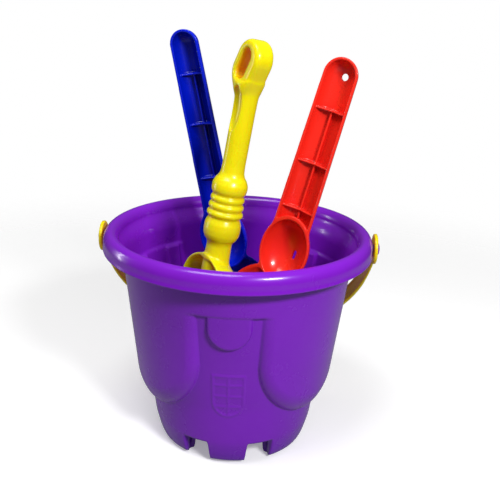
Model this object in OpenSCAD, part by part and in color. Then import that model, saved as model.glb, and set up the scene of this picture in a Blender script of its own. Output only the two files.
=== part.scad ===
// Castle sand bucket with a swinging bail and three hand tools standing in it.
// Origin: centre of the bucket's footprint, on the ground. +Z is up, -Y is the front.

/* [Bucket] */
// Outer radius of the rolled rim
rim_r = 95; // [92:1:98]
// Overall height of the bucket, feet to rim
bucket_h = 160; // [158:1:163]
// Wall thickness of the moulding
wall = 2.2; // [1.8:0.1:2.6]
// Outer radius where the wall meets the rim
neck_r = 82.3; // [81.5:0.1:83]
// Outer radius of the towers at their foot
tower_r = 71; // [70:0.5:72]
// Height at which that radius is measured, just above the rounded foot of the towers
tower_z = 47.4; // [46:0.2:49]
// Height of the lowest point of the towers
tower_low = 40; // [38:0.5:42]
// Outer radius of the waist just below the towers
waist_r = 62.5; // [61.5:0.5:63.5]
// Half of the angle that a gate panel covers between two towers
gate_half = 16.2; // [15:0.2:18]
// Height of the gate panel's top edge
gate_top = 123.4; // [120:0.2:126]
// Outer radius of the wall at the gate panel's top edge
gate_r = 76.7; // [76:0.1:77.5]

/* [Feet] */
// Height of the notches between the feet
notch_h = 19.4; // [17:0.2:21]
// Outer radius of the feet on the ground
foot_r = 51; // [50:0.5:52]
// Inner radius of the ring of feet
foot_in_r = 45; // [43:1:47]
// Half of the angle of a narrow foot, under a gate
narrow_foot = 14; // [12:0.5:15]
// Half of the angle of a wide foot, under a tower
wide_foot = 27.3; // [25:0.1:29]

/* [Bail] */
// Radius of the moulded pivot pegs
peg_r = 3.2; // [3:0.1:3.6]
// Radial running clearance of the eyes on the pegs
peg_gap = 0.08; // [0.05:0.01:0.1]
// Height of the pivot axis
pivot_z = 149; // [148:0.5:150]
// Reach of the bail from its pivot axis, at mid thickness
bail_reach = 128; // [124:1:130]
// Width of the strap
strap_w = 13; // [11:0.5:14]
// Thickness of the strap and its eyes
strap_t = 2.4; // [2:0.1:2.8]
// Angle below the horizontal at which the bail hangs behind the bucket
bail_hang = 51; // [46:1:52]

/* [Scoops] */
// Length of the red scoop from the tip of its blade to the end of its handle
red_len = 263.5; // [258:0.5:266]
// Length of the blue scoop
blue_len = 276.5; // [270:0.5:279]
// Width of the red handle at its free end
red_top_w = 25; // [22:0.5:26]
// Width of the red handle where it meets the bowl
red_low_w = 29; // [27:0.5:31]
// Width of the blue handle at its free end
blue_top_w = 21; // [19:0.5:23]
// Width of the blue handle where it meets the bowl
blue_low_w = 24; // [22:0.5:26]
// Depth of the handles' channel, outside
grip_depth = 12; // [10:0.5:12.5]
// Thickness of the tools' walls
tool_wall = 1.8; // [1.6:0.1:2]
// Half width of the oval bowl
bowl_r = 19; // [17.5:0.5:20]
// Half length of the oval bowl
bowl_half = 25; // [23:0.5:26]
// Half width of the digging blade
blade_half = 34; // [30:0.5:34]
// Radius of the hanging hole
hang_r = 2.4; // [2:0.1:2.6]

/* [Shovel] */
// Length of the shovel from the tip of its blade to the end of its ring
shovel_len = 268; // [265:0.5:271]
// Radius of the shaft at its slimmest
shaft_r = 7.6; // [7:0.1:8]
// Radius of the half-round trough
trough_r = 28.5; // [27:0.5:29]

/* [Hidden] */
$fn = 96;
// Longer than any part, for cuts that go right through
far = 400;

purple = [0.40, 0.07, 0.72];
yellow = [0.93, 0.86, 0.02];
blue = [0.0, 0.06, 0.68];
red = [0.93, 0.12, 0.09];

// Bucket, derived
neck_z = bucket_h - 14;
flange_z = bucket_h - 13.3;
rim_mid_r = rim_r - 5.25;
rim_mid_z = bucket_h - 7.5;
rim_wall = wall + 0.2;
shoulder_r = 8;
// The towers end in a broad arch: two round corners with a short flat between them
arch_r = 38;
arch_flat = 10;
key_half = 15.4;
key_z = gate_top - 8.4;
key_drop = 1.0;
floor_z = notch_h;
tower_slope = (neck_r - tower_r) / (neck_z - tower_z);

// Bail, derived
bail_in = rim_r + 1.1;
// The arch is widest this far in front of the pivot axis, so that its legs close in behind it
bail_toe = 7;
// A superellipse, a little fuller in its shoulders than an ellipse
bail_power = 2.3;
eye_r = 10.8;
head_gap = 0.4;
head_t = 1.8;
head_r = 4.7;
eye_hole = peg_r + peg_gap;

// Scoops, derived
red_bowl_z = 124;
blue_bowl_z = 121;
bowl_back = 2.6;
blade_curve_r = 52;
blade_depth = 12;
blade_top = 82;
blade_dome = 46;
rib_t = 1.6;
red_ribs = [for (drop = [37, 75, 109]) red_len - drop];
blue_ribs = [for (drop = [32, 68, 109]) blue_len - drop];

// Shovel, derived
trough_depth = 27;
trough_half = 28;
trough_top = 96.5;
trough_dome = 25.6;
shaft_y = 9;
collar_z = 141.5;
ring_pitch = 5.2;
ring_t = 14;

// Where each tool stands: [tip x, tip y, tip z, lean about X, lean about Y, turn about the long axis]
red_place = [1.9, -5.7, 24.3, -2, 14.2, -27];
blue_place = [11.1, 41.2, 22.6, 4.5, -11.8, -18];
yellow_place = [-38.8, -30, 26.4, -2.2, 8.6, -55];

module place(p) {
    translate([p[0], p[1], p[2]]) rotate([p[3], p[4], 0]) rotate([0, 0, p[5]]) children();
}

// Points of an arc from angle a0 to a1 with separate radii across and up
function arc(cx, cz, rx, rz, a0, a1, n = 12) =
    [for (i = [0:n]) let (a = a0 + (a1 - a0) * i / n) [cx + rx * cos(a), cz + rz * sin(a)]];

// Wedge of the full height, centred on direction a, of half angle h
module wedge(a, h, z0 = 0, z1 = bucket_h) {
    translate([0, 0, z0])
        rotate([0, 0, a - 90 - h])
            rotate_extrude(angle = 2 * h)
                square([rim_r + 20, z1 - z0]);
}

// Outline in the plane seen from outside, pushed outwards along direction a
module radial(a) {
    rotate([0, 0, a])
        rotate([90, 0, 0])
            linear_extrude(rim_r + 20)
                children();
}

// Core: waist, recessed gate wall and upper wall, pulled in by t
module core(t) {
    rotate_extrude()
        polygon(concat(
            [[0, floor_z + t], [0, neck_z], [neck_r - t, neck_z],
             [neck_r - t - (neck_z - gate_top) * tower_slope, gate_top], [gate_r - t, gate_top - t / 2],
             [waist_r - t, tower_z]],
            [[60.3 - t, 30], [59 - t, floor_z + t]]));
}

// One tower in direction a, pulled in by t
module tower(a, t) {
    low_r = tower_r - t;
    side = 60 - gate_half - t * 0.8;
    intersection() {
        wedge(a, side);
        radial(a) {
            translate([arch_flat, tower_low + arch_r]) circle(arch_r - t);
            translate([-arch_flat, tower_low + arch_r]) circle(arch_r - t);
            translate([-arch_flat, tower_low + t]) square([2 * arch_flat, arch_r]);
            translate([-far / 2, tower_low + arch_r]) square([far, far]);
        }
        rotate_extrude()
            polygon(concat(
                [[30, tower_low + t], [30, neck_z], [neck_r - t, neck_z]],
                arc(low_r - shoulder_r, tower_low + t + shoulder_r, shoulder_r, shoulder_r, 0, -90, 8)));
    }
}

// Half-round keystone at the top of the gate in direction a, pulled in by t
module keystone(a, t) {
    top_r = neck_r - t - key_drop - (neck_z - gate_top) * tower_slope;
    intersection() {
        radial(a) {
            translate([0, key_z]) circle(key_half - t);
            translate([-key_half + t, key_z]) square([2 * (key_half - t), gate_top - key_z + 2]);
        }
        rotate_extrude()
            polygon([[40, 90], [40, gate_top + 2], [top_r, gate_top + 2], [top_r - 3.3, 90]]);
    }
}

// Ring of feet, pulled in by t. The feet are hollow boxes that open into the bucket.
module feet(t) {
    intersection() {
        rotate_extrude()
            polygon([[foot_in_r + t, t], [foot_in_r + t, floor_z + 2 * t + 0.01], [59 - t, floor_z + 2 * t + 0.01],
                     [57.4 - t, 13], [55.5 - t, 6], [53.6 - t, 2 + t / 2], [foot_r - t / 2, t]]);
        for (k = [0:2]) {
            wedge(k * 120, narrow_foot - t * 1.15);
            wedge(k * 120 + 60, wide_foot - t * 1.15);
        }
    }
}

// Outer skin for t = 0, inner skin for t = wall
module skin(t) {
    core(t);
    feet(t);
    for (k = [0:2]) {
        tower(k * 120 + 60, t);
        keystone(k * 120, t);
    }
}

// Rolled rim: an arched flange whose outer leg turns down to a lip
module rim() {
    inner_leg = rim_mid_r - 5.25;
    rotate_extrude()
        polygon(concat(
            [[neck_r - wall, neck_z - 0.5], [inner_leg, neck_z + 3]],
            arc(rim_mid_r, rim_mid_z, 5.25, 7.5, 180, 0, 16),
            [[rim_r + 0.3, flange_z], [rim_r - 1.2, flange_z]],
            arc(rim_mid_r, rim_mid_z, 5.25 - rim_wall, 7.5 - rim_wall, 0, 180, 16),
            [[inner_leg + rim_wall, neck_z + 3.3], [neck_r, neck_z - 0.5]]));
}

// Mushroom peg on the side s of the rim
module peg(s) {
    head_x = bail_in + strap_t + head_gap;
    translate([0, 0, pivot_z]) rotate([0, s * 90, 0]) {
        translate([0, 0, rim_r - 2]) cylinder(r = peg_r, h = head_x - rim_r + 2);
        translate([0, 0, head_x]) cylinder(r = head_r, h = head_t);
    }
}

module bucket_body() {
    color(purple) {
        difference() {
            skin(0);
            skin(wall);
            translate([0, 0, neck_z - 0.6]) cylinder(r = neck_r - wall, h = 5);
        }
        rim();
        peg(1);
        peg(-1);
    }
}

// One edge of the strap arch, from eye to eye: half width a, reach b from its widest place
function arch_line(a, b, n = 72) =
    [[a, -eye_r - 1],
     for (i = [0:n]) let (t = 180 * i / n, c = cos(t))
         [sign(c) * a * pow(abs(c), 2 / bail_power), b * pow(sin(t), 2 / bail_power) - bail_toe],
     [-a, -eye_r - 1]];

// Strap arch and eyes, drawn lying in the horizontal plane of the pivot axis
module bail_flat() {
    reach = bail_reach + bail_toe;
    difference() {
        intersection() {
            translate([0, 0, -eye_r]) linear_extrude(2 * eye_r) difference() {
                polygon(arch_line(bail_in + strap_t, reach + strap_t / 2));
                polygon(arch_line(bail_in, reach - strap_t / 2));
            }
            union() {
                translate([-far / 2, 0, -strap_w / 2]) cube([far, far, strap_w]);
                rotate([0, 90, 0]) cylinder(r = eye_r, h = far, center = true);
            }
        }
        rotate([0, 90, 0]) cylinder(r = eye_hole, h = far, center = true);
    }
}

module bail_handle() {
    color(yellow) translate([0, 0, pivot_z]) rotate([-bail_hang, 0, 0]) bail_flat();
}

// Outline of a scoop's handle in its own plane, pulled in by t
module grip_outline(z0, z1, top_w, low_w, t) {
    top = top_w / 2 - t;
    low = low_w / 2 - t;
    translate([0, z1]) circle(top);
    polygon([[-low, z0 + t], [low, z0 + t], [top, z1], [-top, z1]]);
}

// Body of revolution whose back half is the bowl
module bowl_solid(bowl_z, t) {
    translate([0, -bowl_back, bowl_z])
        rotate_extrude()
            polygon(concat([[0, bowl_half - t]], arc(0, 0, bowl_r - t, bowl_half - t, 88, -88, 24),
                           [[0, t - bowl_half]]));
}

// Body of revolution whose back is a trough with a domed shoulder
module trough_solid(r, depth, top_z, dome, t) {
    translate([0, depth - r, 0])
        rotate_extrude()
            polygon(concat([[0, -20], [r - t, -20]], arc(0, top_z, r - t, dome - t, 0, 90, 12)));
}

// Part of a trough with a rounded tip that lies behind the rim plane, up to height top
module blade(r, depth, top_z, dome, half, top) {
    intersection() {
        difference() {
            trough_solid(r, depth, top_z, dome, 0);
            trough_solid(r, depth, top_z, dome, tool_wall);
        }
        rotate([90, 0, 0]) translate([0, 0, -far / 2]) linear_extrude(far) {
            translate([0, half]) circle(half);
            translate([-half, half]) square([2 * half, far]);
        }
        translate([-far / 2, 0, 0]) cube([far, far, top]);
    }
}

// Channel handle with a middle rib and cross ribs, oval bowl with a drain slot, shallow blade
module scoop(length, top_w, low_w, bowl_z, ribs, with_hole) {
    grip_z0 = bowl_z + bowl_half - 5;
    grip_z1 = length - top_w / 2;
    rib_y = grip_depth - 6;
    difference() {
        union() {
            difference() {
                rotate([90, 0, 0]) translate([0, 0, -grip_depth])
                    linear_extrude(grip_depth) grip_outline(grip_z0, grip_z1, top_w, low_w, 0);
                rotate([90, 0, 0]) translate([0, 0, tool_wall - grip_depth])
                    linear_extrude(grip_depth) grip_outline(grip_z0, grip_z1, top_w, low_w, tool_wall);
            }
            translate([-rib_t / 2, rib_y, grip_z0 + 1]) cube([rib_t, 5, ribs[0] - grip_z0]);
            for (z = ribs)
                translate([-top_w / 2 + 0.5, rib_y, z]) cube([top_w - 1, 5, rib_t]);
            blade(blade_curve_r, blade_depth, blade_top, blade_dome, blade_half, bowl_z);
            intersection() {
                bowl_solid(bowl_z, 0);
                translate([-far / 2, 0, 0]) cube([far, far, far]);
            }
        }
        bowl_solid(bowl_z, tool_wall);
        // drain slot in the bowl
        translate([2.6, 0, bowl_z - 7]) cube([2.2, 30, 6.5]);
        if (with_hole)
            translate([0, 0, grip_z1]) rotate([-90, 0, 0]) cylinder(r = hang_r, h = 30);
    }
}

module blue_scoop() {
    color(blue) place(blue_place) scoop(blue_len, blue_top_w, blue_low_w, blue_bowl_z, blue_ribs, false);
}

module red_scoop() {
    color(red) place(red_place) scoop(red_len, red_top_w, red_low_w, red_bowl_z, red_ribs, true);
}

// Outline of the ring, centred on its middle
module stadium(half_w, half_l) {
    for (s = [-1, 1]) translate([0, s * (half_l - half_w)]) circle(half_w);
    square([2 * half_w, 2 * (half_l - half_w)], center = true);
}

// Neck, collar, three grip rings, bulb and tapering shaft as one turned profile, and a ring at the end
module shovel_solid() {
    ring_mid = shovel_len - 17;
    blade(trough_r, trough_depth, trough_top, trough_dome, trough_half, far);
    translate([0, shaft_y, 0])
        rotate_extrude()
            polygon(concat(
                [[0, trough_top + 20], [9, trough_top + 20], [8.6, collar_z - 9]],
                arc(6, collar_z, 6.4, 8, -70, 70, 8),
                [for (k = [0:2]) each arc(9.6 - k * 0.4, collar_z + 11 + k * ring_pitch, 2.8, 2.4, -70, 70, 6)],
                arc(8, collar_z + 29, 4, 6, -60, 75, 8),
                [[shaft_r, collar_z + 38], [shaft_r + 0.8, ring_mid - 10], [0, ring_mid - 10]]));
    rotate([90, 0, 0]) translate([0, ring_mid, -shaft_y - ring_t / 2]) linear_extrude(ring_t) difference() {
        stadium(12.6, 17);
        stadium(6, 10.4);
    }
}

module yellow_shovel() {
    color(yellow) place(yellow_place) shovel_solid();
}

bucket_body();
bail_handle();
blue_scoop();
yellow_shovel();
red_scoop();
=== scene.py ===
"""Looks for the castle sand bucket: moulded bucket, strap bail, two scoops and a ring-ended shovel.

Lengths inside the shape code are millimetres, in the CAD's frame: +Z up, -Y the front, origin on the ground
under the bucket's axis. MM turns them into Blender's metres.
"""
import math

import bpy
import numpy as np
from mathutils import Matrix, Vector


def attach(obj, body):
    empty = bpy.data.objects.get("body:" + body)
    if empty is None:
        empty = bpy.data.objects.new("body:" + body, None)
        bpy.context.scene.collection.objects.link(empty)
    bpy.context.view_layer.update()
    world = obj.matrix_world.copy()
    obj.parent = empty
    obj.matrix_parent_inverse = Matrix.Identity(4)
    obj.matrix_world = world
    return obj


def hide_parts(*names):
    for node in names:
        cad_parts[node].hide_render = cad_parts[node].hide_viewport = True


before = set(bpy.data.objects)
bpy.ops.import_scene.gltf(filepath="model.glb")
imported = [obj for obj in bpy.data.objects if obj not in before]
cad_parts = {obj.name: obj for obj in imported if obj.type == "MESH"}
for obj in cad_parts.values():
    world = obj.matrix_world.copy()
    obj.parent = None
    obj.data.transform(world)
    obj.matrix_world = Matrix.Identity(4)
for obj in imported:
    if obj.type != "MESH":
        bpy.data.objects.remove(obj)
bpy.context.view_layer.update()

MM = 0.001

# ---------------------------------------------------------------- driving dimensions (mm, degrees)
# bucket: outer rim, wall, rolled rim's half width and height, and the neck just under it
RIM_R = 95.0
HEIGHT = 160.0
WALL = 2.2
RIM_HALF_W = 5.25
RIM_HALF_H = 7.5
NECK_R = 82.3
NECK_Z = HEIGHT - 14.0

# towers: radius and height of the shoulder, lowest point, height of the round lower end, rounded edge's width
TOWER_R = 71.0
TOWER_Z = 47.4
TOWER_LOW = 38.0
TOWER_ARCH = 50.0
TOWER_EDGE = 8.5

# gates: half angle, top and rounded top edge of the panel
GATE_HALF = 16.2
GATE_TOP = 123.4
GATE_EDGE = 2.6

# keystones: half width, where the round end begins, a height they stay above, and rounded edge
KEY_HALF = 15.4
KEY_Z = GATE_TOP - 8.4
KEY_LOW = 95.0
KEY_EDGE = 2.4

# feet: notch height, outer radius at the ground, inner and middle radius, half angles and corner radius
NOTCH_H = 19.4
FOOT_R = 51.3
FOOT_IN_R = 45.0
FOOT_MID_R = 52.0
NARROW_FOOT = 14.0
WIDE_FOOT = 27.3
FOOT_CORNER = 3.0

# bail: pivot height and peg, strap section, arch, hang below the horizontal, and eye
PIVOT_Z = 149.0
PEG_R = 3.2
STRAP_T = 2.4
STRAP_W = 13.0
BAIL_IN = RIM_R + 1.1
BAIL_REACH = 128.0
BAIL_TOE = 7.0
BAIL_POWER = 2.3
BAIL_HANG = 51.0
EYE_R = 10.8
EYE_HOLE = PEG_R + 0.08

# tools: where each tip stands, its lean about X and Y, and its turn about its own long axis
RED_PLACE = (1.9, -5.7, 24.3, -2.0, 14.2, -27.0)
BLUE_PLACE = (11.1, 41.2, 22.6, 4.5, -11.8, -18.0)
YELLOW_PLACE = (-38.8, -30.0, 26.4, -2.2, 8.6, -55.0)

# tools: wall; scoops: length, handle's top and low width, bowl height, rib heights and hole radius
TOOL_WALL = 1.8
RED_SHAPE = (263.5, 25.0, 29.0, 124.0, (227.3, 189.3, 155.3), 2.4)
BLUE_SHAPE = (276.5, 21.0, 24.0, 121.0, (245.3, 209.3, 168.3), 0.0)

# shovel: length and the height of the collar under the grip rings
SHOVEL_LENGTH = 268.0
SHOVEL_COLLAR = 141.5


# ---------------------------------------------------------------- small maths helpers
def smoothstep(low, high, x):
    """0 below low, 1 above high, smooth between."""
    t = np.clip((x - low) / (high - low), 0.0, 1.0)
    return t * t * (3.0 - 2.0 * t)


def arc(cx, cz, rx, rz, start, end, count):
    """Points on an ellipse arc, angles in degrees."""
    angles = np.radians(np.linspace(start, end, count))
    return [(cx + rx * math.cos(a), cz + rz * math.sin(a)) for a in angles]


def smooth_min(a, b, k):
    """Union of two distances with a fillet about k wide."""
    h = np.clip(0.5 + 0.5 * (b - a) / k, 0.0, 1.0)
    return b + (a - b) * h - k * h * (1.0 - h)


def smooth_max(a, b, k):
    """Intersection of two distances with an edge rounded by about k."""
    return -smooth_min(-a, -b, k)


def mesh_object(name, verts, faces, material):
    """A smooth-shaded mesh object from mm vertices."""
    mesh = bpy.data.meshes.new(name)
    verts = np.asarray(verts, dtype=np.float32) * MM
    faces = np.asarray(faces, dtype=np.int32)
    corners = faces.shape[1]
    mesh.vertices.add(len(verts))
    mesh.vertices.foreach_set("co", verts.ravel())
    mesh.loops.add(faces.size)
    mesh.loops.foreach_set("vertex_index", faces.ravel())
    mesh.polygons.add(len(faces))
    mesh.polygons.foreach_set("loop_start", np.arange(0, faces.size, corners, dtype=np.int32))
    mesh.update(calc_edges=True)
    mesh.validate()
    mesh.polygons.foreach_set("use_smooth", np.ones(len(mesh.polygons), dtype=bool))
    mesh.materials.append(material)
    obj = bpy.data.objects.new(name, mesh)
    bpy.context.scene.collection.objects.link(obj)
    return obj


# ---------------------------------------------------------------- distance fields to meshes
def surface_net(field, low, high, step):
    """Closed quad mesh of field(x, y, z) = 0 inside a box, as mm vertices and faces."""
    axes = [np.arange(a, b + step, step) for a, b in zip(low, high)]
    x, y, z = np.meshgrid(*axes, indexing="ij")
    value = field(x, y, z).astype(np.float32)
    inside = value < 0.0
    cells = tuple(n - 1 for n in value.shape)

    # one vertex in each cell the surface crosses, at the mean of the crossings on the cell's edges
    total = np.zeros(cells + (3,), dtype=np.float32)
    count = np.zeros(cells, dtype=np.float32)
    for axis in range(3):
        head = [slice(None)] * 3
        tail = [slice(None)] * 3
        head[axis] = slice(0, -1)
        tail[axis] = slice(1, None)
        a = value[tuple(head)]
        b = value[tuple(tail)]
        crossed = inside[tuple(head)] != inside[tuple(tail)]
        part = np.where(crossed, a / np.where(crossed, a - b, 1.0), 0.0)
        others = [k for k in range(3) if k != axis]
        for du in (0, 1):
            for dv in (0, 1):
                pick = [slice(None)] * 3
                pick[others[0]] = slice(du, du + cells[others[0]])
                pick[others[1]] = slice(dv, dv + cells[others[1]])
                hit = crossed[tuple(pick)]
                total[..., axis] += np.where(hit, part[tuple(pick)], 0.0)
                total[..., others[0]] += np.where(hit, du, 0.0)
                total[..., others[1]] += np.where(hit, dv, 0.0)
                count += hit
    used = count > 0
    index = np.full(cells, -1, dtype=np.int64)
    index[used] = np.arange(used.sum())
    where = np.argwhere(used)
    verts = (where + total[used] / count[used][:, None]) * step + np.array(low)

    # one quad round each grid edge the surface crosses
    faces = []
    for axis in range(3):
        u, v = [k for k in range(3) if k != axis]
        core = [slice(1, -1)] * 3
        core[axis] = slice(0, -1)
        ahead = [slice(1, -1)] * 3
        ahead[axis] = slice(1, None)
        first = inside[tuple(core)]
        second = inside[tuple(ahead)]
        for mask, flip in ((first & ~second, False), (~first & second, True)):
            at = np.argwhere(mask)
            at[:, u] += 1
            at[:, v] += 1
            ring = []
            for du, dv in ((1, 1), (0, 1), (0, 0), (1, 0)):
                cell = at.copy()
                cell[:, u] -= du
                cell[:, v] -= dv
                ring.append(index[cell[:, 0], cell[:, 1], cell[:, 2]])
            quad = np.stack(ring, axis=1)
            if flip != (axis == 1):
                quad = quad[:, ::-1]
            faces.append(quad)
    faces = np.concatenate(faces)

    # one Newton step, at most half a cell long, puts each vertex on the true surface
    eps = 0.05
    px, py, pz = verts.T
    here = field(px, py, pz)
    grad = np.stack([field(px + eps, py, pz) - here, field(px, py + eps, pz) - here,
                     field(px, py, pz + eps) - here], axis=1) / eps
    size = np.maximum((grad ** 2).sum(axis=1), 0.25)
    shift = -here[:, None] * grad / size[:, None]
    length = np.maximum(np.linalg.norm(shift, axis=1), 1e-9)
    shift *= np.minimum(1.0, 0.5 * step / length)[:, None]
    return verts + shift, faces


def placed(verts, place):
    """Moves a tool's own coordinates to where it stands in the bucket."""
    lean_x, lean_y, twist = (math.radians(a) for a in place[3:])
    turn = Matrix.Rotation(lean_y, 3, "Y") @ Matrix.Rotation(lean_x, 3, "X") @ Matrix.Rotation(twist, 3, "Z")
    return verts @ np.array(turn).T + np.array(place[:3])


# ---------------------------------------------------------------- materials
def map_range(tree, source, low, high, out_low, out_high):
    """Output of a Map Range node that takes low to high on a socket to out_low to out_high."""
    node = tree.nodes.new("ShaderNodeMapRange")
    node.inputs["From Min"].default_value = low
    node.inputs["From Max"].default_value = high
    node.inputs["To Min"].default_value = out_low
    node.inputs["To Max"].default_value = out_high
    tree.links.new(source, node.inputs["Value"])
    return node.outputs["Result"]


def combine(tree, operation, first, second):
    """Output of a Math node on two sockets."""
    node = tree.nodes.new("ShaderNodeMath")
    node.operation = operation
    tree.links.new(first, node.inputs[0])
    tree.links.new(second, node.inputs[1])
    return node.outputs["Value"]


def plastic(name, colour, deep, painted_shade_tint, rough=0.24, coat=0.15, glow=0.0, reach=(0.004, 0.003, 0.003)):
    """Satin-gloss moulded plastic: colour drift, painted shade in hollows, paler outer edges and duller
    patches.

    deep is the far end of the drift, and the shade tint after it is painted shade, laid into hollows where
    shade falls. glow is how much light passes through the wall, and reach how far each colour goes, in
    metres.
    """
    mat = bpy.data.materials.new(name)
    mat.use_nodes = True
    tree = mat.node_tree
    nodes = tree.nodes
    links = tree.links
    nodes.clear()
    out = nodes.new("ShaderNodeOutputMaterial")
    bsdf = nodes.new("ShaderNodeBsdfPrincipled")
    links.new(bsdf.outputs["BSDF"], out.inputs["Surface"])
    coords = nodes.new("ShaderNodeTexCoord")

    def noise(scale, detail, roughness=0.5):
        """Noise over the piece's own coordinates."""
        node = nodes.new("ShaderNodeTexNoise")
        node.inputs["Scale"].default_value = scale
        node.inputs["Detail"].default_value = detail
        node.inputs["Roughness"].default_value = roughness
        links.new(coords.outputs["Object"], node.inputs["Vector"])
        return node.outputs["Fac"]

    def tint(first, second, factor):
        """Mix of two colours; either may be a socket or a plain colour."""
        node = nodes.new("ShaderNodeMix")
        node.data_type = "RGBA"
        for key, value in (("A", first), ("B", second)):
            if isinstance(value, tuple):
                node.inputs[key].default_value = (*value, 1.0)
            else:
                links.new(value, node.inputs[key])
        links.new(factor, node.inputs["Factor"])
        return node.outputs["Result"]

    def bump(height, distance, strength, below=None):
        """Bump over another bump, or over the bare surface."""
        node = nodes.new("ShaderNodeBump")
        node.inputs["Strength"].default_value = strength
        node.inputs["Distance"].default_value = distance
        links.new(height, node.inputs["Height"])
        if below:
            links.new(below, node.inputs["Normal"])
        return node.outputs["Normal"]

    # colour: slow drift of the pigment, painted shade in hollows found by ambient occlusion, pale rubbing on
    # outer edges
    # ambient occlusion marks where shade falls in hollows, for the painted shade below
    hollow = nodes.new("ShaderNodeAmbientOcclusion")
    hollow.samples = 16
    hollow.inputs["Distance"].default_value = 0.03
    edge = nodes.new("ShaderNodeNewGeometry").outputs["Pointiness"]
    pale = tuple(min(1.0, c * 0.8 + 0.2) for c in colour)
    base = tint(colour, deep, map_range(tree, noise(14.0, 3.0), 0.35, 0.75, 0.0, 0.7))
    # painted shade: occluded hollows darken towards the shade tint
    base = tint(base, painted_shade_tint, map_range(tree, hollow.outputs["AO"], 0.2, 0.85, 0.85, 0.0))
    base = tint(base, pale, map_range(tree, edge, 0.54, 0.64, 0.0, 0.08))
    links.new(base, bsdf.inputs["Base Color"])

    # gloss: even, with slightly duller handling patches
    patches = map_range(tree, noise(32.0, 4.0, 0.6), 0.4, 0.8, rough, rough + 0.10)
    links.new(patches, bsdf.inputs["Roughness"])

    # surface: faint orange peel over long, shallow shrinkage waves
    peel = bump(noise(420.0, 1.0), 0.0002, 0.02)
    links.new(bump(noise(16.0, 0.0), 0.0006, 0.08, peel), bsdf.inputs["Normal"])

    bsdf.inputs["IOR"].default_value = 1.49
    bsdf.inputs["Specular IOR Level"].default_value = 0.4
    bsdf.inputs["Coat Weight"].default_value = coat
    bsdf.inputs["Coat Roughness"].default_value = 0.07
    bsdf.inputs["Subsurface Weight"].default_value = glow
    bsdf.inputs["Subsurface Radius"].default_value = reach
    bsdf.inputs["Subsurface Scale"].default_value = 1.0
    return mat


AMBER_REACH = (0.012, 0.006, 0.001)
# the third colour of each plastic is painted shade, the tint its hollows take where shade falls
PURPLE = plastic("purple_plastic", (0.205, 0.010, 0.55), (0.175, 0.007, 0.48), (0.110, 0.003, 0.40),
                 rough=0.22, coat=0.2)
YELLOW = plastic("yellow_plastic", (0.84, 0.73, 0.002), (0.80, 0.67, 0.002), (1.0, 0.24, 0.003),
                 coat=0.1, glow=0.45, reach=AMBER_REACH)
BAIL_YELLOW = plastic("bail_yellow_plastic", (0.92, 0.66, 0.002), (0.88, 0.58, 0.002), (0.95, 0.44, 0.001),
                      rough=0.3, coat=0.0, glow=0.5, reach=AMBER_REACH)
BLUE = plastic("blue_plastic", (0.0, 0.012, 0.64), (0.0, 0.009, 0.54), (0.0, 0.003, 0.22), coat=0.0)
RED = plastic("red_plastic", (0.92, 0.028, 0.014), (0.86, 0.022, 0.011), (0.72, 0.010, 0.006))


# ---------------------------------------------------------------- bucket
def tower_face(z):
    """Radius of the towers and of the plain upper wall."""
    return TOWER_R + (z - TOWER_Z) * (NECK_R - TOWER_R) / (NECK_Z - TOWER_Z)


def make_core_face():
    """Radius of the waist and gate wall, as a smoothed profile."""
    low = -20.0
    half = 24
    spread = 10.0
    knots_z = [low, 0.0, 6.0, 13.0, NOTCH_H, 30.0, TOWER_Z, GATE_TOP, HEIGHT]
    knots_r = [43.0, 52.6, 55.5, 57.4, 59.0, 60.4, 62.5, 76.7, 82.5]
    fine = np.linspace(low, HEIGHT, 721)
    raw = np.interp(fine, knots_z, knots_r)
    kernel = np.exp(-(np.arange(-half, half + 1) / spread) ** 2)
    kernel /= kernel.sum()
    before = raw[0] + (raw[1] - raw[0]) * np.arange(-half, 0)
    after = raw[-1] + (raw[-1] - raw[-2]) * np.arange(1, half + 1)
    smooth = np.convolve(np.concatenate([before, raw, after]), kernel, mode="valid")
    return lambda z: np.interp(z, fine, smooth)


core_face = make_core_face()


def step_profile(depth, width, power=1.7):
    """Rise of a rounded step: 0 at its foot, 1 once depth passes width."""
    x = np.clip(depth / width, 0.0, 1.0)
    return (1.0 - (1.0 - x) ** power) ** (1.0 / power)


def wrap_third(alpha):
    """Angle from the nearest gate centre, in degrees, -60 to 60."""
    return (alpha + 60.0) % 120.0 - 60.0


def wall_radius(alpha, z, inset):
    """Outer skin radius at angle alpha (degrees from the front) and height z, pulled in by inset."""
    third = wrap_third(alpha)
    face = tower_face(z)
    core = core_face(z)
    arc_len = np.radians(1.0) * face

    # towers: U-shaped panels, rounded at the sides and more so at the bottom shoulder
    half = (60.0 - GATE_HALF) * arc_len
    across = (60.0 - np.abs(third)) * arc_len / half
    below = np.maximum(TOWER_LOW + TOWER_ARCH - z, 0.0) / TOWER_ARCH
    k = np.hypot(across, below) + 1e-6
    slope = np.maximum(np.hypot(across / half, below / TOWER_ARCH), 1e-9)
    depth = (1.0 - k) * k / slope - inset
    rise = step_profile(depth, TOWER_EDGE * (1.0 + (below / k) ** 2))

    # plain wall above the gate panels
    band = step_profile(z - GATE_TOP - inset, GATE_EDGE)
    rise = 1.0 - (1.0 - rise) * (1.0 - band)

    # half-round keystone hanging from the top of each gate
    u = third * arc_len
    key = KEY_HALF - np.where(z > KEY_Z, np.abs(u), np.hypot(u, KEY_Z - z)) - inset
    key_rise = step_profile(key, KEY_EDGE) * (1.0 - 1.0 / np.maximum(face - core, 1.2))
    rise = np.maximum(rise, key_rise * (z > KEY_LOW))

    out = core + (face - core) * rise - inset
    if inset == 0.0:
        out = out + door_relief(u, z)
    return out


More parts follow.
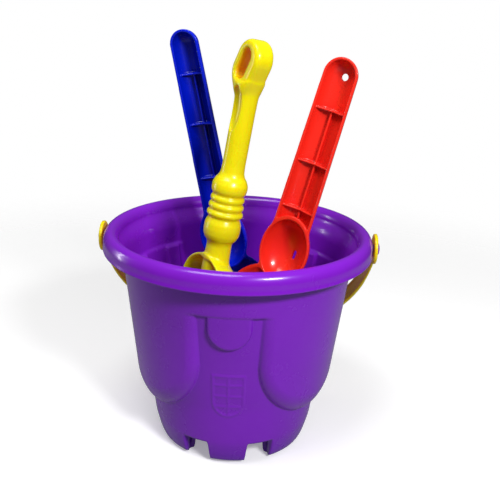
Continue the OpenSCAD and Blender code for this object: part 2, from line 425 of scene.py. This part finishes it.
def door_relief(u, z):
    """Shallow planked castle door, round end down, low on each gate panel."""
    half_w = 13.0
    top = 79.0
    round_z = 56.0
    height = 0.45
    edge = np.where(z > round_z, half_w - np.abs(u), half_w - np.hypot(u, round_z - z))
    edge = np.minimum(edge, top - z)
    within = smoothstep(1.0, 2.0, edge)
    border = smoothstep(0.0, 0.7, edge) * smoothstep(2.8, 2.0, edge)
    lines = smoothstep(1.1, 0.5, np.abs(u)) * within
    for bar_z in (52.0, 61.0, 70.0):
        lines = np.maximum(lines, smoothstep(1.2, 0.6, np.abs(z - bar_z)) * within)
    return height * np.maximum(border, lines * 0.8)


def foot_mask(alpha, z, inset):
    """1 over a foot and 0 over a notch. Feet shrink by inset on each side; their lower corners are round."""
    third = np.abs(wrap_third(alpha))
    mm_per_degree = math.radians(1.0) * FOOT_MID_R
    below = max(FOOT_CORNER + inset - z, 0.0)
    corner = FOOT_CORNER - math.sqrt(max(FOOT_CORNER ** 2 - below ** 2, 0.0))
    narrow = (NARROW_FOOT - third) * mm_per_degree - inset - corner
    wide = (WIDE_FOOT - (60.0 - third)) * mm_per_degree - inset - corner
    return smoothstep(-0.9, 0.9, np.maximum(narrow, wide))


def foot_section(inset):
    """Profile under the floor, from the axis outwards and up to the notch height."""
    floor = NOTCH_H + inset
    in_r = FOOT_IN_R + inset
    out_r = FOOT_R - inset
    in_round = 1.2 - 0.3 * inset
    out_round = 2.4 - 0.8 * inset
    points = [(r, floor) for r in np.linspace(0.0, in_r - 3.0, 9)]
    points += arc(in_r - 1.6, floor - 1.6, 1.6, 1.6, 90.0, 0.0, 6)
    points += [(in_r, z) for z in np.linspace(floor - 3.0, inset + 3.0, 12)]
    points += arc(in_r + in_round, inset + in_round, in_round, in_round, 180.0, 270.0, 6)
    points += arc(out_r - out_round, inset + out_round, out_round, out_round, -90.0, -15.0, 8)
    return points


def rim_section():
    """Profile from the wall under the flange, around the lip and over the rim, to the wall inside."""
    mid_r = RIM_R - RIM_HALF_W
    mid_z = HEIGHT - RIM_HALF_H
    leg = 2.3
    in_r = mid_r - RIM_HALF_W
    points = [(NECK_R + 0.1, NECK_Z + 0.4), (NECK_R + 0.9, NECK_Z + 1.8), (NECK_R + 2.3, NECK_Z + 3.6)]
    points += [(NECK_R + 3.6, NECK_Z + 5.0)]
    points += arc(mid_r, mid_z, RIM_HALF_W - leg, RIM_HALF_H - leg, 178.0, 0.0, 15)
    points += [(mid_r + 3.0, mid_z - 2.0), (mid_r + 3.3, mid_z - 4.2), (RIM_R - 1.2, HEIGHT - 13.1)]
    points += arc(RIM_R - 0.5, HEIGHT - 12.6, 0.8, 0.75, 200.0, 375.0, 9)
    points += [(RIM_R + 0.15, HEIGHT - 11.6), (RIM_R - 0.05, HEIGHT - 10.4), (RIM_R, HEIGHT - 9.0)]
    points += arc(mid_r, mid_z, RIM_HALF_W, RIM_HALF_H, 0.0, 180.0, 34)
    points += [(in_r - 0.3, NECK_Z + 5.6), (in_r - 0.9, NECK_Z + 4.2), (in_r - 1.9, NECK_Z + 2.4)]
    points += [(in_r - 2.9, NECK_Z + 0.6), (in_r - 3.8, NECK_Z - 1.4), (NECK_R - WALL - 0.1, NECK_Z - 3.6)]
    return points


def build_bucket():
    """One closed skin swept round the axis: underside, feet, relief wall, rim, inside wall and floor."""
    steps = 720
    alpha = np.linspace(0.0, 360.0, steps, endpoint=False)
    rings = []

    def add_ring(radius, height):
        """A ring of the sweep; radius and height are single numbers or one value per step."""
        rings.append((np.broadcast_to(radius, alpha.shape), np.broadcast_to(height, alpha.shape)))

    def add_low_ring(radius, z, inset):
        """A ring that follows the feet down and jumps to the floor's level over the notches."""
        floor = NOTCH_H + inset
        lift = (floor - z) * (1.0 - foot_mask(alpha, z, inset)) if z < floor else 0.0
        add_ring(radius, z + lift)

    def add_wall(heights, inset):
        """Rings up or down the relief wall."""
        for z in heights:
            add_low_ring(wall_radius(alpha, np.full_like(alpha, z), inset), z, inset)

    outer_low = np.linspace(3.2, NOTCH_H + 1.0, 14)
    outer_high = np.arange(NOTCH_H + 2.0, NECK_Z - 0.3, 0.85)
    inner_low = np.linspace(5.4, NOTCH_H + WALL + 1.0, 12)
    inner_high = np.arange(NOTCH_H + WALL + 2.0, NECK_Z - 6.0, 1.2)
    for r, z in foot_section(0.0)[1:]:
        add_low_ring(r, z, 0.0)
    add_wall(np.concatenate([outer_low, outer_high]), 0.0)
    for r, z in rim_section():
        add_ring(r, z)
    add_wall(np.concatenate([inner_low, inner_high])[::-1], WALL)
    for r, z in foot_section(WALL)[:0:-1]:
        add_low_ring(r, z, WALL)

    turn = np.radians(alpha)
    radius = np.array([ring[0] for ring in rings])
    height = np.array([ring[1] for ring in rings])
    verts = np.stack([radius * np.sin(turn), -radius * np.cos(turn), height], axis=-1).reshape(-1, 3)
    low_pole = len(verts)
    verts = np.concatenate([verts, [[0.0, 0.0, NOTCH_H], [0.0, 0.0, NOTCH_H + WALL]]])
    last = (len(rings) - 1) * steps
    row = np.arange(len(rings) - 1)[:, None] * steps
    here = np.arange(steps)
    after = (here + 1) % steps
    corners = [row + here, row + after, row + steps + after, row + steps + here]
    quads = np.stack(corners, axis=-1).reshape(-1, 4)
    floor_fan = np.stack([np.full(steps, low_pole), after, here], axis=-1)
    inside_fan = np.stack([np.full(steps, low_pole + 1), last + here, last + after], axis=-1)
    tris = np.concatenate([quads[:, [0, 1, 2]], quads[:, [0, 2, 3]], floor_fan, inside_fan])
    bucket = mesh_object("bucket_shell", verts, tris, PURPLE)
    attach(bucket, "bucket")
    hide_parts("bucket_body")


def build_pegs():
    """Mushroom pegs that carry the bail's eyes."""
    head_x = BAIL_IN + STRAP_T + 0.4
    head_r = 4.7
    root_r = 6.0
    dome = 2.5

    def field(x, y, z):
        """Shank, cone-shaped root on the rim and domed head."""
        radial = np.hypot(y, z)
        side = np.abs(x)
        along = np.abs(side - (RIM_R + head_x) / 2) - (head_x - RIM_R) / 2 - 1.0
        shank = np.maximum(radial - PEG_R, along)
        cone = radial - root_r + 0.9 * np.maximum(side - RIM_R + 0.6, 0.0)
        root = np.maximum(cone, np.abs(side - RIM_R + 1.3) - 1.5)
        head = np.maximum((np.hypot(radial, (side - head_x) * dome) - head_r) / dome * 1.8, head_x - side)
        return np.minimum(smooth_min(shank, root, 0.6), head)

    verts, faces = surface_net(field, (-103.0, -8.0, -8.0), (103.0, 8.0, 8.0), step=0.4)
    pegs = mesh_object("bail_pegs", verts + np.array([0.0, 0.0, PIVOT_Z]), faces, PURPLE)
    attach(pegs, "bucket")


# ---------------------------------------------------------------- bail
def build_bail():
    """Strap arch with an eye at each end, bowed as a full-shouldered half ellipse."""
    half_span = BAIL_IN + STRAP_T / 2
    reach = BAIL_REACH + BAIL_TOE

    def through(x, y):
        """Distance across the strap's thickness, from the curve through its middle."""
        across = np.maximum(np.abs(x), 1e-3) / half_span
        back = np.maximum(y + BAIL_TOE, 1e-3) / reach
        k = (across ** BAIL_POWER + back ** BAIL_POWER) ** (1.0 / BAIL_POWER)
        across_slope = (across / k) ** (BAIL_POWER - 1.0) / half_span
        back_slope = (back / k) ** (BAIL_POWER - 1.0) / reach
        return (k - 1.0) / np.hypot(across_slope, back_slope)

    def field(x, y, z):
        """Strap with a low bead along each edge, an eye round each peg and the hole through it."""
        skin = np.abs(through(x, y)) - STRAP_T / 2
        half_w = STRAP_W / 2
        bead = 0.35 * smoothstep(2.0, 1.0, np.abs(np.abs(z) - half_w + 1.3)) * smoothstep(28.0, 45.0, y)
        strap = smooth_max(skin + 0.3 - bead, np.abs(z) - half_w, 0.9)
        strap = np.maximum(strap, -y)
        radial = np.hypot(y, z)
        eye = smooth_max(skin, radial - EYE_R, 1.0)
        return smooth_max(smooth_min(strap, eye, 1.2), EYE_HOLE - radial, 0.35)

    verts, faces = surface_net(field, (-100.0, -12.5, -12.5), (100.0, 131.5, 12.5), step=0.5)
    hang = np.array(Matrix.Rotation(math.radians(-BAIL_HANG), 3, "X"))
    bail = mesh_object("bail_strap", verts @ hang.T + np.array([0.0, 0.0, PIVOT_Z]), faces, BAIL_YELLOW)
    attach(bail, "bail")
    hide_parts("bail_handle")


# ---------------------------------------------------------------- scoops
def boat(x, y, z, low, high, half_low, half_high, depth, inset):
    """Distance to a rounded channel open towards -Y, with a round end at z = high."""
    end = high - half_high
    t = np.clip((z - low) / (end - low), 0.0, 1.0)
    half = half_low + (half_high - half_low) * t - inset
    deep = depth - inset
    across = np.hypot(x, np.maximum(z - end, 0.0))
    k = np.hypot(across / half, np.maximum(y, 0.0) / deep)
    return (k - 1.0) * np.minimum(half, deep)


def trough(x, y, z, radius, depth, top, dome, inset):
    """Distance to a domed cylinder about the tool's long axis whose back is the blade."""
    above = np.maximum(z - top, 0.0) / dome * radius
    r = np.sqrt(x ** 2 + (y - depth + radius) ** 2 + above ** 2)
    return r - radius + inset


def blade(x, y, z, radius, depth, top, dome, half):
    """Blade shell with a rounded tip and rolled edge."""
    shell = np.abs(trough(x, y, z, radius, depth, top, dome, TOOL_WALL / 2)) - TOOL_WALL / 2
    outline = np.where(z < half, np.hypot(x, half - z), np.abs(x)) - half
    return smooth_max(smooth_max(shell, -y, 0.6), outline, 0.6)


def scoop_field(length, top_w, low_w, bowl_z, ribs, hole_r):
    """Distance field of a scoop: channel handle with ribs, oval bowl, shallow blade."""
    bowl_r = 19.0
    bowl_half = 25.0
    bowl_depth = 16.4
    grip_low = bowl_z + bowl_half - 10.0
    depth = 12.0
    rib_half = 0.7

    def bowl(x, y, z, inset):
        """Distance to an egg-shaped bowl, open towards -Y."""
        k = np.sqrt((x / (bowl_r - inset)) ** 2 + (np.maximum(y, 0.0) / (bowl_depth - inset)) ** 2
                    + ((z - bowl_z) / (bowl_half - inset)) ** 2)
        return (k - 1.0) * (bowl_depth - inset)

    def ribbing(x, y, z):
        """Low middle rib and cross ribs on the channel's floor."""
        web = smooth_max(np.maximum(np.abs(x) - rib_half, z - ribs[0]), 6.6 - y, 0.4)
        for rib in ribs:
            cross = smooth_max(np.abs(z - rib) - rib_half, 5.4 - 0.28 * np.abs(x) - y, 0.4)
            web = np.minimum(web, cross)
        return web

    def field(x, y, z):
        """Handle, bowl and blade joined with small fillets."""
        outer = boat(x, y, z, grip_low, length, low_w / 2, top_w / 2, depth, 0.0)
        outer = smooth_max(outer, grip_low - z, 1.0)
        inner = boat(x, y, z, grip_low, length, low_w / 2, top_w / 2, depth, TOOL_WALL)
        inner = smooth_max(inner, TOOL_WALL - bowl(x, y, z, TOOL_WALL), 1.0)
        hollow = smooth_max(inner, -ribbing(x, y, z), 0.5)
        handle = smooth_max(smooth_max(outer, -hollow, 0.5), -y, 0.5)
        cup = smooth_max(bowl(x, y, z, 0.0), -y, 0.5)
        lower = blade(x, y, z, radius=52.0, depth=12.0, top=82.0, dome=46.0, half=34.0)
        lower = np.maximum(lower, z - bowl_z)
        solid = smooth_max(smooth_min(smooth_min(handle, cup, 1.6), lower, 2.5), -y, 0.5)
        solid = smooth_max(solid, -bowl(x, y, z, TOOL_WALL), 0.5)

        # small slot through the bowl's floor, and a hanging hole near the end of the handle
        slot = np.hypot(x - 3.7, np.maximum(np.abs(z - bowl_z + 3.7) - 2.2, 0.0)) - 1.1
        solid = smooth_max(solid, -np.maximum(slot, -y), 0.4)
        if hole_r:
            hole = np.maximum(np.hypot(x, z - length + top_w / 2) - hole_r, -y)
            solid = smooth_max(solid, -hole, 0.5)
        return solid

    return field


def build_scoop(name, place, shape, material, body, node):
    """Meshes one scoop and stands it in the bucket."""
    top = shape[0] + 1.5
    verts, faces = surface_net(scoop_field(*shape), (-36.0, -1.5, -1.5), (36.0, 18.0, top), step=0.6)
    scoop = mesh_object(name, placed(verts, place), faces, material)
    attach(scoop, body)
    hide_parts(node)


# ---------------------------------------------------------------- shovel
def make_shaft_radius(collar, ring_pitch, end):
    """Radius of the turned shaft by height: neck, collar, three grip rings, bulb and slim grip."""
    profile = [(-45.0, 9.6), (-25.0, 9.2), (-11.0, 8.6), (-8.4, 9.4), (-7.0, 11.0)]
    profile += [(-4.0, 12.3), (0.0, 12.7), (4.0, 12.4), (7.0, 11.2), (8.3, 10.5)]
    for k in range(3):
        crest = 11.0 + k * ring_pitch
        crest_r = 12.5 - 0.4 * k
        profile += [(crest - 1.0, crest_r), (crest + 1.0, crest_r - 0.1), (crest + 2.6, 10.6 - 0.2 * k)]
    profile += [(26.0, 11.8), (28.5, 12.2), (31.5, 12.0), (34.5, 10.8), (37.0, 8.9)]
    profile += [(39.5, 8.0), (45.0, 7.7), (80.0, 7.7), (end - collar, 8.3)]
    heights, radii = zip(*profile)
    fine = np.linspace(collar - 45.0, end, 700)
    raw = np.interp(fine - collar, heights, radii)
    half = 9
    spread = 3.4
    kernel = np.exp(-(np.arange(-half, half + 1) / spread) ** 2)
    smooth = np.convolve(np.pad(raw, half, mode="edge"), kernel / kernel.sum(), mode="valid")
    return lambda z: np.interp(z, fine, smooth)


def shovel_field():
    """Distance field of the shovel: deep trough, ribbed neck, round shaft and a leaning oval ring."""
    ring_mid = SHOVEL_LENGTH - 17.0
    ring_t = 14.0
    ring_r = 12.6
    hole_r = 5.4
    lean = math.radians(24.0)
    shaft_y = 9.0
    shaft_low = 108.0
    shaft_radius = make_shaft_radius(SHOVEL_COLLAR, 5.2, ring_mid)

    def ring(x, y, z):
        """Flat oval ring, leaning in its own plane, with a long finger hole."""
        side = x * math.cos(lean) - (z - ring_mid) * math.sin(lean)
        up = x * math.sin(lean) + (z - ring_mid) * math.cos(lean)
        oval = np.hypot(side, np.maximum(np.abs(up) - 4.4, 0.0)) - ring_r
        solid = smooth_max(oval, np.abs(y - shaft_y) - ring_t / 2, 4.0)
        hole = np.hypot(side + 1.5, np.maximum(np.abs(up) - 5.0, 0.0)) - hole_r
        return smooth_max(solid, -hole, 2.2)

    def thumb(x, y, z):
        """1 on the skin of the long thumb recess in the side of the grip, less inside it."""
        along = (z - ring_mid + 28.0) / 15.0
        return np.sqrt(((x + 0.4) / 5.8) ** 2 + ((y - 1.0) / 4.4) ** 2 + along ** 2)

    def field(x, y, z):
        """Shaft, ring and trough joined with small fillets."""
        shaft = (np.hypot(x, y - shaft_y) - shaft_radius(z)) * 0.85
        shaft = np.maximum(shaft, np.maximum(shaft_low - z, z - ring_mid + 12.0))
        top = smooth_min(shaft, ring(x, y, z), 5.0)
        top = smooth_max(top, (1.0 - thumb(x, y, z)) * 4.4, 0.5)
        lower = blade(x, y, z, radius=28.5, depth=27.0, top=96.5, dome=25.6, half=28.0)
        return smooth_min(top, lower, 3.0)

    return field


def build_shovel():
    """Meshes the shovel and stands it in the bucket."""
    verts, faces = surface_net(shovel_field(), (-30.0, -7.0, -1.5), (30.0, 29.0, 270.0), step=0.6)
    shovel = mesh_object("ring_shovel", placed(verts, YELLOW_PLACE), faces, YELLOW)
    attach(shovel, "yellow_tool")
    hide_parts("yellow_shovel")


# ---------------------------------------------------------------- camera, floor and light
def build_camera():
    """Looks slightly down into the bucket from the front, a little right of the middle."""
    data = bpy.data.cameras.new("camera")
    data.sensor_width = 36.0
    data.lens = 51.2
    cam = bpy.data.objects.new("camera", data)
    cam.location = Vector((25.3, -483.0, 310.2)) * MM
    cam.rotation_euler = [math.radians(a) for a in (70.95, -2.12, 2.71)]
    bpy.context.scene.collection.objects.link(cam)
    bpy.context.scene.camera = cam


def build_floor():
    """Plain pale floor, a disc that fades into the white surround."""
    mat = bpy.data.materials.new("pale_floor")
    mat.use_nodes = True
    tree = mat.node_tree
    nodes = tree.nodes
    links = tree.links
    bsdf = nodes["Principled BSDF"]
    bsdf.inputs["Base Color"].default_value = (0.9, 0.9, 0.9, 1.0)
    bsdf.inputs["Roughness"].default_value = 0.7
    bsdf.inputs["Specular IOR Level"].default_value = 0.1
    bsdf.inputs["Emission Color"].default_value = (1.0, 1.0, 1.0, 1.0)
    bsdf.inputs["Emission Strength"].default_value = 0.3
    coords = nodes.new("ShaderNodeTexCoord")
    distance = nodes.new("ShaderNodeVectorMath")
    distance.operation = "LENGTH"
    links.new(coords.outputs["Object"], distance.inputs[0])
    fade = map_range(tree, distance.outputs["Value"], 0.22, 0.75, 0.0, 1.0)
    fade.node.interpolation_type = "SMOOTHSTEP"

    # only a little of the floor's light bounces back, as from a small sheet of paper
    rays = nodes.new("ShaderNodeLightPath")
    bounce = map_range(tree, rays.outputs["Is Camera Ray"], 0.0, 1.0, 0.75, 0.0)
    clear = nodes.new("ShaderNodeBsdfTransparent")
    mix = nodes.new("ShaderNodeMixShader")
    links.new(combine(tree, "MAXIMUM", fade, bounce), mix.inputs["Fac"])
    links.new(bsdf.outputs["BSDF"], mix.inputs[1])
    links.new(clear.outputs["BSDF"], mix.inputs[2])
    links.new(mix.outputs["Shader"], nodes["Material Output"].inputs["Surface"])

    half = 800.0
    corners = [(-half, -half, 0.0), (half, -half, 0.0), (half, half, 0.0), (-half, half, 0.0)]
    floor = mesh_object("floor", corners, [(0, 1, 2, 3)], mat)


def area_light(name, place, target, size, power):
    """A soft rectangular light, placed and aimed in mm."""
    data = bpy.data.lights.new(name, "AREA")
    data.shape = "RECTANGLE"
    data.size = size[0] * MM
    data.size_y = size[1] * MM
    data.energy = power
    light = bpy.data.objects.new(name, data)
    light.location = Vector(place) * MM
    light.rotation_euler = (Vector(target) - Vector(place)).to_track_quat("-Z", "Y").to_euler()
    bpy.context.scene.collection.objects.link(light)


def build_world():
    """White surround for the camera; for the object, a soft glow from above, dimmer in its gloss."""
    world = bpy.data.worlds.new("studio")
    world.use_nodes = True
    tree = world.node_tree
    nodes = tree.nodes
    links = tree.links
    coords = nodes.new("ShaderNodeTexCoord")
    split = nodes.new("ShaderNodeSeparateXYZ")
    links.new(coords.outputs["Generated"], split.inputs["Vector"])
    glow = map_range(tree, split.outputs["Z"], -0.1, 0.9, 0.09, 0.32)
    rays = nodes.new("ShaderNodeLightPath")
    gloss = map_range(tree, rays.outputs["Is Glossy Ray"], 0.0, 1.0, 1.0, 0.55)
    strength = nodes.new("ShaderNodeMix")
    strength.inputs["B"].default_value = 1.0
    links.new(rays.outputs["Is Camera Ray"], strength.inputs["Factor"])
    links.new(combine(tree, "MULTIPLY", glow, gloss), strength.inputs["A"])
    background = nodes["Background"]
    background.inputs["Color"].default_value = (1.0, 1.0, 1.0, 1.0)
    links.new(strength.outputs["Result"], background.inputs["Strength"])
    bpy.context.scene.world = world


def build_light():
    """A key from the upper right front, a strip on the left and a soft top light."""
    middle = (0.0, 0.0, 110.0)
    area_light("key", (400.0, -630.0, 620.0), middle, (200.0, 90.0), 6.2)
    area_light("left_strip", (-780.0, 160.0, 200.0), middle, (60.0, 420.0), 1.1)
    area_light("top", (-160.0, -260.0, 900.0), middle, (420.0, 300.0), 3.8)


build_camera()
build_floor()
build_world()
build_light()
build_bucket()
build_pegs()
build_bail()
build_scoop("red_scoop_skin", RED_PLACE, RED_SHAPE, RED, "red_tool", "red_scoop")
build_scoop("blue_scoop_skin", BLUE_PLACE, BLUE_SHAPE, BLUE, "blue_tool", "blue_scoop")
build_shovel()
bpy.context.scene.view_settings.view_transform = "Standard"
